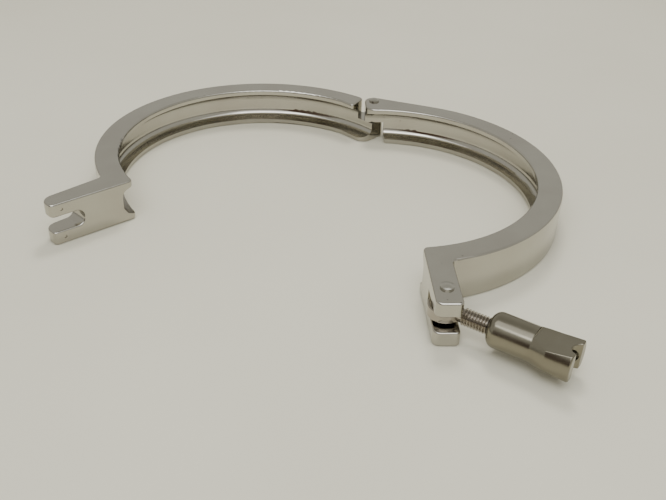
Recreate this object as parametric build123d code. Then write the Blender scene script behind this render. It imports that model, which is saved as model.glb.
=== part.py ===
from build123d import *
import math
import os

# Hinged two-piece flange clamp, millimetres and degrees.
# Frame: origin at the centre of the clevis half's bore, half way up its height.
# +Z runs along the pipe, +Y points at the hinge pin, and the clevis half lies on the +X side.
# Each half is drawn on the +X side with its hinge lug in the upper level, then turned into place.

# Channel ring
OUTER_R = 92.5
LIP_R = 79.4
GROOVE_R = 86.0
HEIGHT = 22.8
LIP_FACE = 3.0
FLANK_DEG = 20.0
EDGE_R = 1.1
GROOVE_FILLET = 4.5
GROOVE_OVERRUN = 3.0

# Hinge; a ring end is the slanted line where one half stops to clear the other half's lug
PIN_Y = 93.46
OPEN_DEG = 46.34
LUG_R = 5.85
LUG_NOSE_R = 6.3
LUG_GAP = 0.3
CLEVIS_NOSE_Y = 79.3
CLEVIS_RING_END = ((6.2, 79.0), (6.2, 90.0))
CLEVIS_END_IN_R = 1.2
FORK_NOSE_Y = 78.2
FORK_RING_END = ((4.8, 80.0), (7.2, 90.0))
FORK_END_IN_R = 1.6
RING_END_R = 3.0

# Pins
PIN_R = 2.38
PIN_PLAY = 0.04
HEAD_R = 3.15
HEAD_H = 1.6
HEAD_SIDE = 0.8
PIN_SINK = 0.1

# Clevis end
CLEVIS_IN_X = 9.0
CLEVIS_OUT_X = 21.2
CLEVIS_TIP_FRONT_R = 3.4
CLEVIS_END_Y = -123.8
CLEVIS_SLOT = 8.1
CLEVIS_SLOT_Y = -103.3
BOLT_PIN = (15.3, -111.5)
CORNER_R = 2.2
INNER_CORNER_R = 2.6
JOIN_R = 3.0
SLOT_EDGE_R = 0.8

# Fork end, drawn on the +X side like the rest of its half
FORK_FRONT = ((13.2, -80.5), (17.0, -119.0))
FORK_TIP_Y = -123.4
FORK_OUT_X = 27.8
FORK_SLOT = 8.4
FORK_SLOT_Y = -110.4
FORK_TIP_FRONT_R = 2.4
FORK_TIP_BACK_R = 6.0
DIMPLE_R = 0.85
DIMPLE_DEPTH = 0.45
DIMPLE_UP = 7.8
DIMPLE_Y = -117.8

# Swing bolt
BOLT_DEG = -36.6
BOLT_R = 3.97
THREAD_PITCH = 1.411
THREAD_DEPTH = 0.82
THREAD_CREST = 0.17
THREAD_ROOT = 0.09
THREAD_START = 9.2
BOLT_LENGTH = 57.0
EYE_R = 7.8
EYE_T = 5.4
EYE_EDGE_R = 0.6

# Wing nut: s runs from its nose to the ends of its wings
NUT_REST = 21.9
NUT_R = 8.1
NUT_BORE_R = 4.02
NUT_LENGTH = 38.4
NOSE_R = 4.0
FLARE_START = 20.2
FLARE_END = 27.5
WING_R = 10.0
WING_END_R = 1.0
SCOOP_START = (20.5, 6.5)
SCOOP_FLOOR = (27.0, 4.8)
SCOOP_END = (39.4, 6.3)
SCOOP_START_R = 1.0
SCOOP_FLOOR_R = 6.0
SADDLE_R = 4.5
SADDLE_DEPTH = 3.1
WING_EDGE_R = 0.5
NUT_TURN_DEG = -5.2

TOP = HEIGHT / 2
CUT = 400.0
TINY = 0.001


def groove_cutter():
    """Turned V groove with a flat floor, reaching inwards past the lips."""
    slope = math.tan(math.radians(FLANK_DEG))
    lip_z = TOP - LIP_FACE
    mouth_r = LIP_R - GROOVE_OVERRUN
    mouth_z = lip_z + GROOVE_OVERRUN * slope
    floor_z = lip_z - (GROOVE_R - LIP_R) * slope
    points = [(mouth_r, -mouth_z), (GROOVE_R, -floor_z), (GROOVE_R, floor_z), (mouth_r, mouth_z)]
    face = Polygon(*points, align=None)
    floor_corners = [v for v in face.vertices() if abs(v.X - GROOVE_R) < TINY]
    face = fillet(floor_corners, GROOVE_FILLET)
    return revolve(Plane.XZ * face, axis=Axis.Z, revolution_arc=360)


def slab(x0, x1, y0, y1, z0, z1):
    size = (x1 - x0, y1 - y0, z1 - z0)
    return Pos((x0 + x1) / 2, (y0 + y1) / 2, (z0 + z1) / 2) * Box(*size)


def on_circle(radius, x, side):
    """Point on a circle about the origin at a given x, on the +Y or -Y side."""
    return (x, side * math.sqrt(radius**2 - x**2))


def round_corner(face, corner, radius):
    """Round the vertex of a flat outline that lies nearest to a point."""
    vertex = min(face.vertices(), key=lambda v: math.dist((v.X, v.Y), corner))
    return fillet(vertex, radius)


def half_outline(front, tip_radii, out_x, nose_y):
    """Plan of one half: hinge lug, ring wall, and the block at the split end.

    front is the block's inner face, from the lip circle to the tip.
    """
    spread = math.acos((OUTER_R - LUG_R) / PIN_Y)
    ring_tangent = (OUTER_R * math.sin(spread), OUTER_R * math.cos(spread))
    boss_tangent = (LUG_R * math.sin(spread), PIN_Y + LUG_R * math.cos(spread))
    boss_mid = (-LUG_R * math.sin(math.pi / 4), PIN_Y + LUG_R * math.cos(math.pi / 4))
    boss_side = (-LUG_R, PIN_Y)
    lug_foot = (-LUG_R, nose_y)
    nose_start = (math.sqrt(LIP_R**2 - nose_y**2), nose_y)
    wall_foot = on_circle(OUTER_R, out_x, -1)
    tip = (out_x, front[1][1])
    edges = [
        Line(lug_foot, boss_side),
        ThreePointArc(boss_side, boss_mid, boss_tangent),
        Line(boss_tangent, ring_tangent),
        ThreePointArc(ring_tangent, (OUTER_R, 0), wall_foot),
        Polyline(wall_foot, tip, front[1], front[0]),
        ThreePointArc(front[0], (LIP_R, 0), nose_start),
        Line(nose_start, lug_foot),
    ]
    face = make_face(edges)
    corners = [lug_foot, wall_foot, tip, front[1], front[0]]
    radii = [LUG_NOSE_R, JOIN_R, tip_radii[1], tip_radii[0], INNER_CORNER_R]
    for corner, radius in zip(corners, radii):
        face = round_corner(face, corner, radius)
    return face


def lower_outline(outline, ring_end, inner_r):
    """Plan of the lower level, which stops short to clear the other half's lug."""
    (x0, y0), (x1, y1) = ring_end
    lean = (x1 - x0) / (y1 - y0)
    foot_x = x0 - lean * y0
    far_x = x0 + lean * (PIN_Y - y0)
    cleared = Polygon((-CUT, 0), (foot_x, 0), (far_x, PIN_Y), (far_x, CUT), (-CUT, CUT), align=None)
    beyond = Pos(0, CUT / 2) * Rectangle(2 * CUT, CUT) - Circle(OUTER_R)
    face = outline - cleared - beyond
    face = round_corner(face, (x1, OUTER_R), RING_END_R)
    return round_corner(face, (x0, LIP_R), inner_r)


def channel_half(front, tip_radii, out_x, nose_y, ring_end, end_in_r):
    """One cast half: two stacked plans, the groove, and the hinge lug's pin hole."""
    upper = half_outline(front, tip_radii, out_x, nose_y)
    lower = lower_outline(upper, ring_end, end_in_r)
    level = LUG_GAP / 2
    half = extrude(Pos(0, 0, level) * upper, TOP - level) + extrude(Pos(0, 0, -TOP) * lower, TOP + level)
    rims = half.edges().group_by(Axis.Z)
    half = fillet(rims[0] + rims[-1], EDGE_R)
    half -= groove_cutter()
    return half - Pos(0, PIN_Y, 0) * Cylinder(PIN_R + PIN_PLAY, 2 * HEIGHT)


def slot_rims(half, width, root_y):
    """Outer edges of a block's slot, without those that cross the block."""
    reach = width / 2 + TINY
    near = half.edges().filter_by(lambda e: abs(e.center().Z) < reach and e.center().Y < root_y - TINY)
    crosses = near.filter_by(Axis.X)
    return [edge for edge in near if edge not in crosses and abs(edge.tangent_at(0).X) < 1 - TINY]


def clevis_half():
    start = on_circle(LIP_R, CLEVIS_IN_X, -1)
    front = (start, (CLEVIS_IN_X, CLEVIS_END_Y))
    hinge = (CLEVIS_NOSE_Y, CLEVIS_RING_END, CLEVIS_END_IN_R)
    half = channel_half(front, (CLEVIS_TIP_FRONT_R, CORNER_R), CLEVIS_OUT_X, *hinge)
    half -= slab(-CUT, CUT, -CUT, CLEVIS_SLOT_Y, -CLEVIS_SLOT / 2, CLEVIS_SLOT / 2)
    half = fillet(slot_rims(half, CLEVIS_SLOT, CLEVIS_SLOT_Y), SLOT_EDGE_R)
    return half - Pos(*BOLT_PIN) * Cylinder(PIN_R + PIN_PLAY, 2 * HEIGHT)


def fork_front_x(y):
    """Position of the fork's slanted front face at a given y."""
    (x0, y0), (x1, y1) = FORK_FRONT
    return x0 + (x1 - x0) * (y - y0) / (y1 - y0)


def fork_half():
    start = on_circle(LIP_R, FORK_FRONT[0][0], -1)
    tip = (fork_front_x(FORK_TIP_Y), FORK_TIP_Y)
    hinge = (FORK_NOSE_Y, FORK_RING_END, FORK_END_IN_R)
    half = channel_half((start, tip), (FORK_TIP_FRONT_R, FORK_TIP_BACK_R), FORK_OUT_X, *hinge)
    half -= slab(-CUT, CUT, -CUT, FORK_SLOT_Y, -FORK_SLOT / 2, FORK_SLOT / 2)
    half -= Pos(0, FORK_SLOT_Y, 0) * Rot(0, 90, 0) * Cylinder(FORK_SLOT / 2, CUT)
    half = fillet(slot_rims(half, FORK_SLOT, FORK_SLOT_Y + FORK_SLOT), SLOT_EDGE_R)
    for side in (-1, 1):
        centre = (fork_front_x(DIMPLE_Y), DIMPLE_Y, side * DIMPLE_UP)
        half -= Pos(*centre) * Rot(0, 90, 0) * Cylinder(DIMPLE_R, 2 * DIMPLE_DEPTH)
    closed = Rot(0, 180, 0) * half
    return Pos(0, PIN_Y, 0) * Rot(0, 0, -OPEN_DEG) * Pos(0, -PIN_Y, 0) * closed


def rivet_pin(x, y):
    """Plain pin with a domed head on the upper face and a flush lower end."""
    low = -TOP + PIN_SINK
    rim = (HEAD_R, TOP + HEAD_SIDE)
    outline = [
        Polyline((0, TOP + HEAD_H), (0, low), (PIN_R, low), (PIN_R, TOP), (HEAD_R, TOP), rim),
        ThreePointArc(rim, dome_point(), (0, TOP + HEAD_H)),
    ]
    pin = revolve(Plane.XZ * make_face(outline), axis=Axis.Z, revolution_arc=360)
    return Pos(x, y, 0) * pin


def dome_point():
    """Middle point of the head's spherical cap."""
    rise = HEAD_H - HEAD_SIDE
    sphere_r = (HEAD_R**2 + rise**2) / (2 * rise)
    x = HEAD_R / 2
    return (x, TOP + HEAD_H - sphere_r + math.sqrt(sphere_r**2 - x**2))


def thread_outline():
    """Half outline of the threaded shank, measured from the eye's centre along the bolt."""
    root_r = BOLT_R - THREAD_DEPTH
    points = [(0, 0), (0, root_r), (THREAD_START, root_r)]
    turns = int((BOLT_LENGTH - THREAD_START) / THREAD_PITCH) - 1
    flank = (THREAD_PITCH - THREAD_CREST - THREAD_ROOT) / 2
    for i in range(turns):
        s = THREAD_START + i * THREAD_PITCH
        points.append((s + flank, BOLT_R))
        points.append((s + flank + THREAD_CREST, BOLT_R))
        points.append((s + THREAD_PITCH - THREAD_ROOT, root_r))
        points.append((s + THREAD_PITCH, root_r))
    points.append((BOLT_LENGTH, root_r))
    points.append((BOLT_LENGTH, 0))
    return points


def along_bolt(shape):
    """Carry a shape drawn along +X from the bolt's pivot to its place on the clamp."""
    return Pos(*BOLT_PIN) * Rot(0, 0, BOLT_DEG) * shape


def swing_bolt():
    shank = revolve(Polygon(*thread_outline(), align=None), axis=Axis.X, revolution_arc=360)
    eye = Cylinder(EYE_R, EYE_T)
    eye = fillet(eye.edges().filter_by(GeomType.CIRCLE), EYE_EDGE_R)
    bolt = eye + (shank - Cylinder(EYE_R - EYE_EDGE_R, 4 * BOLT_R))
    return along_bolt(bolt - Cylinder(PIN_R + PIN_PLAY, 2 * EYE_T))


def nut_blank():
    """Turned body: round nose, cylinder, and the flare that the wings are cut from."""
    nose_mid = NOSE_R * (1 - math.sqrt(0.5))
    edges = [
        Line((0, 0), (0, NUT_R - NOSE_R)),
        ThreePointArc((0, NUT_R - NOSE_R), (nose_mid, NUT_R - nose_mid), (NOSE_R, NUT_R)),
        Polyline(
            (NOSE_R, NUT_R), (FLARE_START, NUT_R), (FLARE_END, WING_R),
            (NUT_LENGTH, WING_R), (NUT_LENGTH, 0), (0, 0),
        ),
    ]
    face = round_corner(make_face(edges), (NUT_LENGTH, WING_R), WING_END_R)
    return revolve(face, axis=Axis.X, revolution_arc=360)


def nut_scoop():
    """Profile of the hollow beside the wings, across the nut's axis, above it."""
    start_top = (SCOOP_START[0], 2 * WING_R)
    end_top = (SCOOP_END[0], 2 * WING_R)
    face = Polygon(start_top, SCOOP_START, SCOOP_FLOOR, SCOOP_END, end_top, align=None)
    face = round_corner(face, SCOOP_START, SCOOP_START_R)
    return round_corner(face, SCOOP_FLOOR, SCOOP_FLOOR_R)


def wing_nut():
    """Blank scooped on two sides into wings, with a saddle between the wings' ends."""
    nut = nut_blank()
    scoop = extrude(Plane.XZ * nut_scoop(), 2 * WING_R, both=True)
    nut -= scoop
    nut -= Rot(180, 0, 0) * scoop
    saddle_at = NUT_LENGTH - SADDLE_DEPTH + SADDLE_R
    nut -= Pos(saddle_at, 0, 0) * Cylinder(SADDLE_R, 4 * WING_R)
    cut_edges = nut.edges().filter_by(lambda e: e.geom_type != GeomType.CIRCLE)
    wing_edges = cut_edges.filter_by(lambda e: e.center().X > FLARE_END)
    nut = fillet(wing_edges, WING_EDGE_R)
    nut -= Rot(0, 90, 0) * Cylinder(NUT_BORE_R, 2 * NUT_LENGTH)
    return along_bolt(Pos(NUT_REST, 0, 0) * Rot(NUT_TURN_DEG, 0, 0) * nut)


os.makedirs("parts", exist_ok=True)
NODES = {
    "clevis_half": clevis_half(),
    "fork_half": fork_half(),
    "hinge_pin": rivet_pin(0, PIN_Y),
    "bolt_pin": rivet_pin(*BOLT_PIN),
    "swing_bolt": swing_bolt(),
    "wing_nut": wing_nut(),
}
for name, shape in NODES.items():
    export_step(shape, f"parts/{name}.step")
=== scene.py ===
import math

import bpy
from mathutils import Matrix, Vector


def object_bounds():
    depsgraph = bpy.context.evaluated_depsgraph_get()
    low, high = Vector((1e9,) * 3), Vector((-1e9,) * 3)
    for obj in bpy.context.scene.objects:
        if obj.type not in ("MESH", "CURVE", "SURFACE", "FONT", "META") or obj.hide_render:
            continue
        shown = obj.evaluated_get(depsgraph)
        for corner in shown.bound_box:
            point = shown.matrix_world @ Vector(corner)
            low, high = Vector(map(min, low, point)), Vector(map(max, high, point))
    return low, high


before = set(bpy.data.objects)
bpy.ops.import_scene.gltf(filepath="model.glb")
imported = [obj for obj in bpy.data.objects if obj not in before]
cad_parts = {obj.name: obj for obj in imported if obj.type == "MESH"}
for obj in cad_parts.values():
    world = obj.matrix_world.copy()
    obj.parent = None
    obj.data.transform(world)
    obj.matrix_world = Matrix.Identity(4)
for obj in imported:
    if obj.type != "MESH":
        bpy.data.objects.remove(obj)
cad_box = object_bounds()

MM = 0.001

# Camera, in the clamp's own frame
CAMERA_AT = Vector((-50.6, -408.3, 218.6)) * MM
CAMERA_PITCH = math.radians(32.39)
CAMERA_YAW = math.radians(-3.16)
CAMERA_ROLL = math.radians(1.89)
CAMERA_LENS_MM = 45.98
CAMERA_SENSOR_MM = 36.0
CAMERA_NEAR = 0.01

# Lights: places and sizes in metres
LIGHT_CENTRE = Vector((-40, -20, 0)) * MM
COOL_WHITE = (0.97, 0.985, 1.0)
WARM_WHITE = (1.0, 0.98, 0.94)
CEILING_AT = (-0.1, -0.95, 1.2)
CEILING_SIZE = (1.5, 2.1)
CEILING_WATTS = 12.0
PANEL_AT = (-0.2, -0.72, 1.15)
PANEL_SIZE = (1.1, 0.5)
PANEL_WATTS = 6.5
KEY_AT = (0.1, 0.6, 1.1)
KEY_SIZE = (0.35, 0.35)
KEY_WATTS = 7.0

# Room: colours by the sine of the angle above the horizon
ROOM_LOW = (0.34, 0.33, 0.30)
ROOM_WALL = (0.60, 0.59, 0.535)
ROOM_ROOF = (0.44, 0.43, 0.385)
ROOM_STOPS = ((0.05, ROOM_LOW), (0.28, ROOM_WALL), (0.6, ROOM_WALL), (1.0, ROOM_ROOF))
NEW_STOP_AT = 0.5

# Dark patch of the room, in front and to the left; its rim and core are cosines from its middle
SHADE_COLOUR = (0.11, 0.07, 0.05)
SHADE_TOWARD = (-0.56, -0.80, 0.22)
SHADE_RIM = 0.90
SHADE_CORE = 0.96

# Noise: scales are repeats per metre, and the part between low and high is what varies
NOISE_ROUGHNESS = 0.55
NOISE_LOW = 0.3
NOISE_HIGH = 0.7

# Table top
FLOOR_REACH = 6.0
TABLE_DARK = (0.66, 0.63, 0.515)
TABLE_LIGHT = (0.715, 0.69, 0.57)
TABLE_ROUGHNESS = 0.6
TABLE_CLOUD = (3.0, 4.0)
TABLE_FIBRE = (420.0, 4.0)
FIBRE_DEPTH = 0.1 * MM
FIBRE_STRENGTH = 0.4

# Steel: noise scale and detail of the tone, the gloss and the surface wave
TONE_CLOUD = (38.0, 3.0)
GLOSS_SMUDGE = (60.0, 2.0)
CAST_WAVE = (55.0, 2.0)

# Small dark pits: cells per metre, and the radius as a share of a cell
PIT_COLOUR = (0.10, 0.085, 0.07)
PIT_SCALE = 110.0
PIT_RADIUS = 0.045
PIT_CORE_RADIUS = PIT_RADIUS / 2

# Each finish: its two tones, its lowest and highest roughness, and the depth of its wave
FINISHES = {
    "cast_steel": ((0.485, 0.472, 0.42), (0.44, 0.418, 0.372), (0.11, 0.19), 0.02 * MM),
    "pin_steel": ((0.52, 0.505, 0.45), (0.45, 0.435, 0.385), (0.14, 0.24), 0.02 * MM),
    "bolt_steel": ((0.43, 0.395, 0.345), (0.32, 0.29, 0.25), (0.13, 0.22), 0.01 * MM),
    "nut_steel": ((0.255, 0.237, 0.185), (0.215, 0.198, 0.153), (0.17, 0.27), 0.03 * MM),
}
NODE_FINISH = {
    "clevis_half": "cast_steel",
    "fork_half": "cast_steel",
    "hinge_pin": "pin_steel",
    "bolt_pin": "pin_steel",
    "swing_bolt": "bolt_steel",
    "wing_nut": "nut_steel",
}


def add_camera():
    data = bpy.data.cameras.new("camera")
    data.lens = CAMERA_LENS_MM
    data.sensor_width = CAMERA_SENSOR_MM
    data.clip_start = CAMERA_NEAR
    camera = bpy.data.objects.new("camera", data)
    turn = Matrix.Rotation(CAMERA_YAW, 4, "Z")
    tilt = Matrix.Rotation(math.pi / 2 - CAMERA_PITCH, 4, "X")
    roll = Matrix.Rotation(CAMERA_ROLL, 4, "Z")
    camera.matrix_world = Matrix.Translation(CAMERA_AT) @ turn @ tilt @ roll
    bpy.context.collection.objects.link(camera)
    bpy.context.scene.camera = camera


def area_light(name, place, size, watts, colour):
    """Rectangular light that shines straight down."""
    data = bpy.data.lights.new(name, "AREA")
    data.shape = "RECTANGLE"
    data.size = size[0]
    data.size_y = size[1]
    data.energy = watts
    data.color = colour
    light = bpy.data.objects.new(name, data)
    light.location = place
    bpy.context.collection.objects.link(light)
    return light


def add_lights():
    """Two panels overhead, and a key light from behind that shows no mirror image of itself."""
    area_light("ceiling_light", CEILING_AT, CEILING_SIZE, CEILING_WATTS, COOL_WHITE)
    area_light("panel_light", PANEL_AT, PANEL_SIZE, PANEL_WATTS, COOL_WHITE)
    key = area_light("key_light", KEY_AT, KEY_SIZE, KEY_WATTS, WARM_WHITE)
    aim = LIGHT_CENTRE - Vector(KEY_AT)
    key.rotation_euler = aim.to_track_quat("-Z", "Y").to_euler()
    key.visible_glossy = False


class Nodes:
    """Adds shader nodes to one node tree and links them."""

    def __init__(self, tree):
        self.tree = tree

    def add(self, kind, **values):
        """Add a node, and set its sockets or its own settings by name."""
        node = self.tree.nodes.new(kind)
        for key, value in values.items():
            if key in node.inputs:
                node.inputs[key].default_value = value
            else:
                setattr(node, key, value)
        return node

    def link(self, source, target):
        self.tree.links.new(source, target)

    def coordinates(self):
        return self.add("ShaderNodeTexCoord").outputs["Object"]

    def noise(self, scale, detail):
        node = self.add("ShaderNodeTexNoise", Scale=scale, Detail=detail, Roughness=NOISE_ROUGHNESS)
        self.link(self.coordinates(), node.inputs["Vector"])
        return node.outputs["Fac"]

    def ramp(self, value, low, high, from_low=NOISE_LOW, from_high=NOISE_HIGH):
        """Stretch a value's range to run from low to high."""
        node = self.add("ShaderNodeMapRange")
        limits = {"From Min": from_low, "From Max": from_high, "To Min": low, "To Max": high}
        for key, number in limits.items():
            node.inputs[key].default_value = number
        self.link(value, node.inputs["Value"])
        return node.outputs["Result"]

    def mix(self, factor, first, second):
        """Mix two colours, each a plain colour or another node's output."""
        node = self.add("ShaderNodeMix", data_type="RGBA")
        for key, colour in (("A", first), ("B", second)):
            if isinstance(colour, tuple):
                node.inputs[key].default_value = (*colour, 1)
            else:
                self.link(colour, node.inputs[key])
        self.link(factor, node.inputs["Factor"])
        return node.outputs["Result"]

    def pits(self, colour):
        """Lay small scattered dark pits over a colour."""
        cells = self.add("ShaderNodeTexVoronoi", Scale=PIT_SCALE)
        self.link(self.coordinates(), cells.inputs["Vector"])
        clear = self.ramp(cells.outputs["Distance"], 0, 1, PIT_CORE_RADIUS, PIT_RADIUS)
        return self.mix(clear, PIT_COLOUR, colour)

    def bump(self, height, distance, strength=1.0):
        node = self.add("ShaderNodeBump", Distance=distance, Strength=strength)
        self.link(height, node.inputs["Height"])
        return node.outputs["Normal"]


def set_stops(walls, marks):
    """Give a colour ramp its stops, each a place and a colour."""
    line = walls.color_ramp.elements
    while len(line) < len(marks):
        line.new(NEW_STOP_AT)
    for element, (at, colour) in zip(line, marks):
        element.position = at
        element.color = (*colour, 1)


def add_room():
    """World light: a room whose colour changes with height, with one dark patch."""
    room = bpy.data.worlds.new("room")
    bpy.context.scene.world = room
    room.use_nodes = True
    n = Nodes(room.node_tree)
    way = n.add("ShaderNodeTexCoord").outputs["Generated"]
    parts = n.add("ShaderNodeSeparateXYZ")
    n.link(way, parts.inputs["Vector"])
    walls = n.add("ShaderNodeValToRGB")
    set_stops(walls, ROOM_STOPS)
    n.link(parts.outputs["Z"], walls.inputs["Fac"])
    toward = n.add("ShaderNodeVectorMath", operation="DOT_PRODUCT")
    toward.inputs[1].default_value = SHADE_TOWARD
    n.link(way, toward.inputs[0])
    shade = n.ramp(toward.outputs["Value"], 0, 1, SHADE_RIM, SHADE_CORE)
    colour = n.mix(shade, walls.outputs["Color"], SHADE_COLOUR)
    n.link(colour, room.node_tree.nodes["Background"].inputs["Color"])


def new_material(name):
    """Material with a plain shader, its node helper, and that shader's sockets."""
    material = bpy.data.materials.new(name)
    material.use_nodes = True
    tree = material.node_tree
    return material, Nodes(tree), tree.nodes["Principled BSDF"].inputs


def steel(name, light, dark, roughness, wave):
    """Polished stainless steel: cloudy tone with pits, uneven gloss and a slight casting wave."""
    material, n, shader = new_material(name)
    tone = n.mix(n.ramp(n.noise(*TONE_CLOUD), 0, 1), dark, light)
    n.link(n.pits(tone), shader["Base Color"])
    n.link(n.ramp(n.noise(*GLOSS_SMUDGE), *roughness), shader["Roughness"])
    n.link(n.bump(n.noise(*CAST_WAVE), wave), shader["Normal"])
    shader["Metallic"].default_value = 1.0
    return material


def table_top():
    """Pale matt table: a faint large cloud and fine fibres."""
    material, n, shader = new_material("table_top")
    tone = n.mix(n.ramp(n.noise(*TABLE_CLOUD), 0, 1), TABLE_DARK, TABLE_LIGHT)
    n.link(tone, shader["Base Color"])
    n.link(n.bump(n.noise(*TABLE_FIBRE), FIBRE_DEPTH, FIBRE_STRENGTH), shader["Normal"])
    shader["Roughness"].default_value = TABLE_ROUGHNESS
    return material


def add_floor():
    """Level square that the clamp lies on."""
    low = cad_box[0][2]
    signs = ((-1, -1), (1, -1), (1, 1), (-1, 1))
    corners = [(x * FLOOR_REACH, y * FLOOR_REACH, low) for x, y in signs]
    mesh = bpy.data.meshes.new("floor")
    mesh.from_pydata(corners, [], [(0, 1, 2, 3)])
    mesh.materials.append(table_top())
    floor = bpy.data.objects.new("floor", mesh)
    bpy.context.collection.objects.link(floor)


def finish_steel():
    """Give every part of the clamp its finish."""
    made = {name: steel(name, *finish) for name, finish in FINISHES.items()}
    for node, finish in NODE_FINISH.items():
        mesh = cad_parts[node].data
        mesh.materials.clear()
        mesh.materials.append(made[finish])


add_camera()
add_lights()
add_room()
add_floor()
finish_steel()
